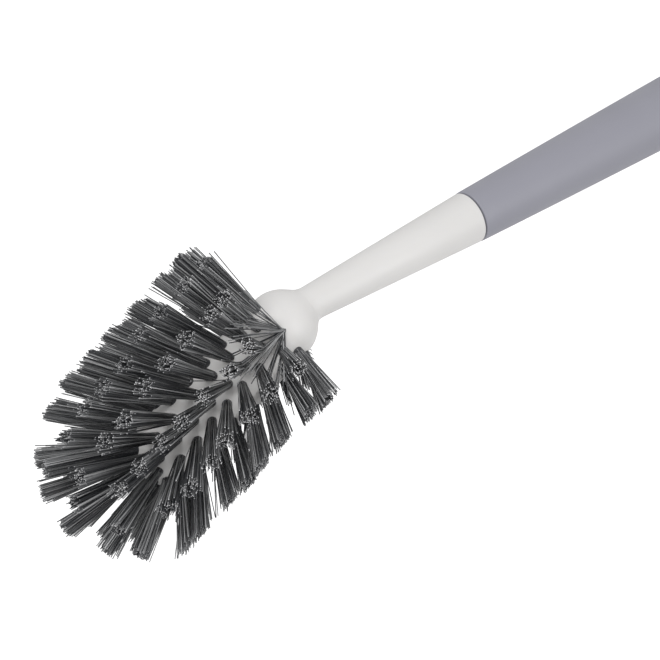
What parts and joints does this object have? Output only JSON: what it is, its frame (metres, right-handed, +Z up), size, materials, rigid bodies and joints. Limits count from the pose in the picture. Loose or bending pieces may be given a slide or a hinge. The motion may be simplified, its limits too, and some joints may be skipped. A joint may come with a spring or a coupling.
{
  "type": "cleaning brush",
  "caption": "Cleaning brush with a bent neck: a slim bar with a ball end carries leaning bristle tufts all round and over its nose, on a tapered hollow handle with a closed, flat end.",
  "frame": {"origin": "centre of the flat face on the handle's far end", "axes": "+X along the handle, from the head towards the flat end; +Z up; the bend lies in the XZ plane, and the head dips towards -X and -Z; Y is across the brush"},
  "size_m": [0.3899, 0.0853, 0.1124],
  "materials": {
    "white_plastic": "smooth satin moulding, warm white",
    "grey_plastic": "fine satin, blue grey",
    "bristle": "extruded nylon filament, charcoal, paler at the cut ends"
  },
  "bodies": {
    "root": {"handle_shell": "grey_plastic", "handle_end_cap": "grey_plastic", "neck_and_ball": "white_plastic", "tuft_ring_01": "bristle", "tuft_ring_02": "bristle", "tuft_ring_03": "bristle", "tuft_ring_04": "bristle", "tuft_ring_05": "bristle", "tuft_ring_06": "bristle", "tuft_ring_07": "bristle", "tuft_ring_08": "bristle", "tuft_ring_09": "bristle", "tuft_ring_10": "bristle", "tuft_ring_11": "bristle", "tuft_ring_12": "bristle", "tuft_ring_13": "bristle", "tuft_ring_14": "bristle", "tuft_ring_15": "bristle", "tuft_ring_16": "bristle", "tuft_ring_17": "bristle"}
  },
  "joints": []
}
